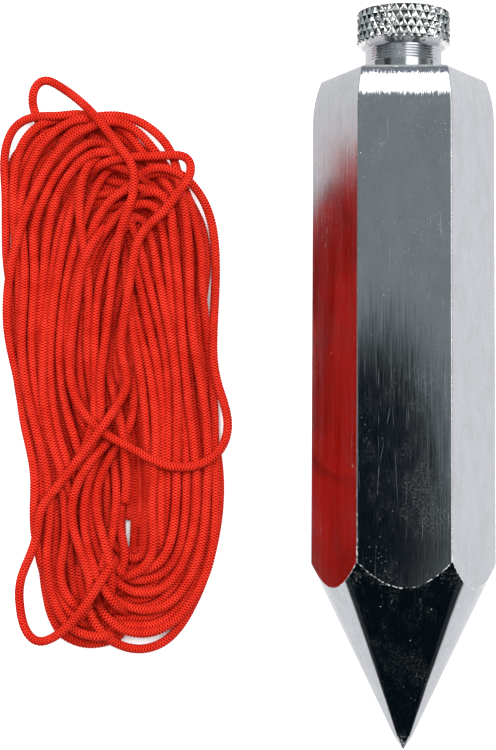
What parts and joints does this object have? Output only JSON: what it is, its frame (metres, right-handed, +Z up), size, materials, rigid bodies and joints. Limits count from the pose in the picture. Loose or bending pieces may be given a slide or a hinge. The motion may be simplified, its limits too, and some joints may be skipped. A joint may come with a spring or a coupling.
{
  "type": "plumb bob",
  "caption": "Hexagonal steel plumb bob with a conical point and a screw-in knurled cap drilled for the line, lying flat beside its loose hank of braided line.",
  "frame": {"origin": "middle of the flat of the hexagon the bob rests on, on the bench", "axes": "+Z up from the bench, +Y along the bob towards its cap, -Y towards its point, -X towards the hank of line"},
  "size_m": [0.0741, 0.107, 0.023],
  "materials": {
    "plated_steel": "chrome plated over a lengthwise ground bar",
    "plated_steel_cap": "chrome plated, turned and knurled",
    "line": "red braided cord"
  },
  "bodies": {
    "bob": {"bob_body": "plated_steel"},
    "cap": {"cap_screw": "plated_steel_cap"},
    "hank": {"line_hank": "line"}
  },
  "joints": [
    {"name": "cap_unscrew", "type": "slide", "parent": "bob", "child": "cap", "axis": [0, 1, 0], "range_m": [0, 0.016]},
    {"name": "hank_slide", "type": "slide", "parent": "bob", "child": "hank", "axis": [-1, 0, 0], "range_m": [-0.01, 0.08]}
  ]
}
